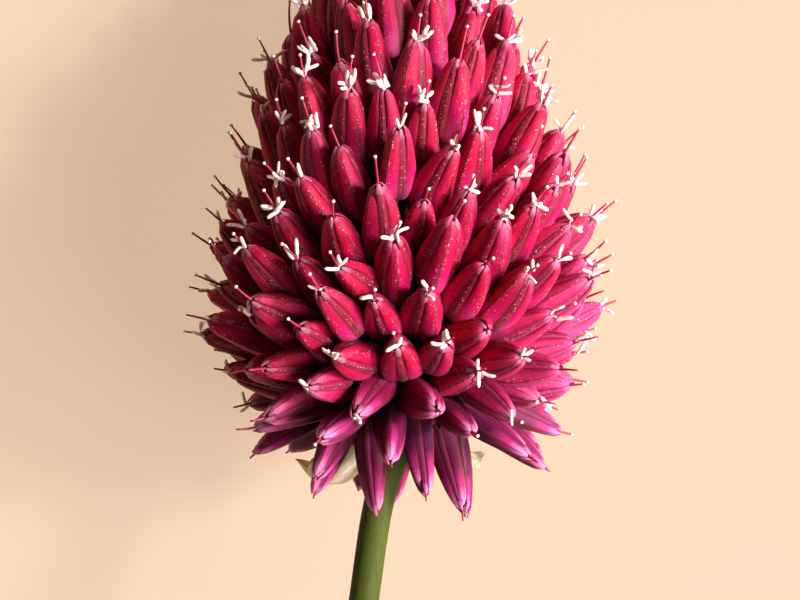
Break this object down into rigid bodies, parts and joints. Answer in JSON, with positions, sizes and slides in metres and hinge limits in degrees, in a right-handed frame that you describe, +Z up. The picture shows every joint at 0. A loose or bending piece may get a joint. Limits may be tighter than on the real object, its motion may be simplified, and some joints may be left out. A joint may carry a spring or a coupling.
{
  "type": "drumstick allium flower head",
  "caption": "Egg-shaped crimson flower head of keeled bell florets on pedicels, with a short cut stalk and papery spathe valves, lying on its side.",
  "frame": {"origin": "on the surface that the flower lies on, under the middle of its bounding box", "axes": "+Z up from the surface; +Y along the surface towards the crown of the head, with the cut end of the stalk towards -Y; +X to the right seen from above"},
  "size_m": [0.0282, 0.0563, 0.0249],
  "materials": {
    "florets": "satin",
    "stalk": "satin",
    "spathe": "matte",
    "pedicels": "satin",
    "stamens": "matte"
  },
  "bodies": {
    "root": {"umbel": "florets", "scape": "stalk", "spathe_valve_left": "spathe", "spathe_valve_right": "spathe"}
  },
  "joints": []
}
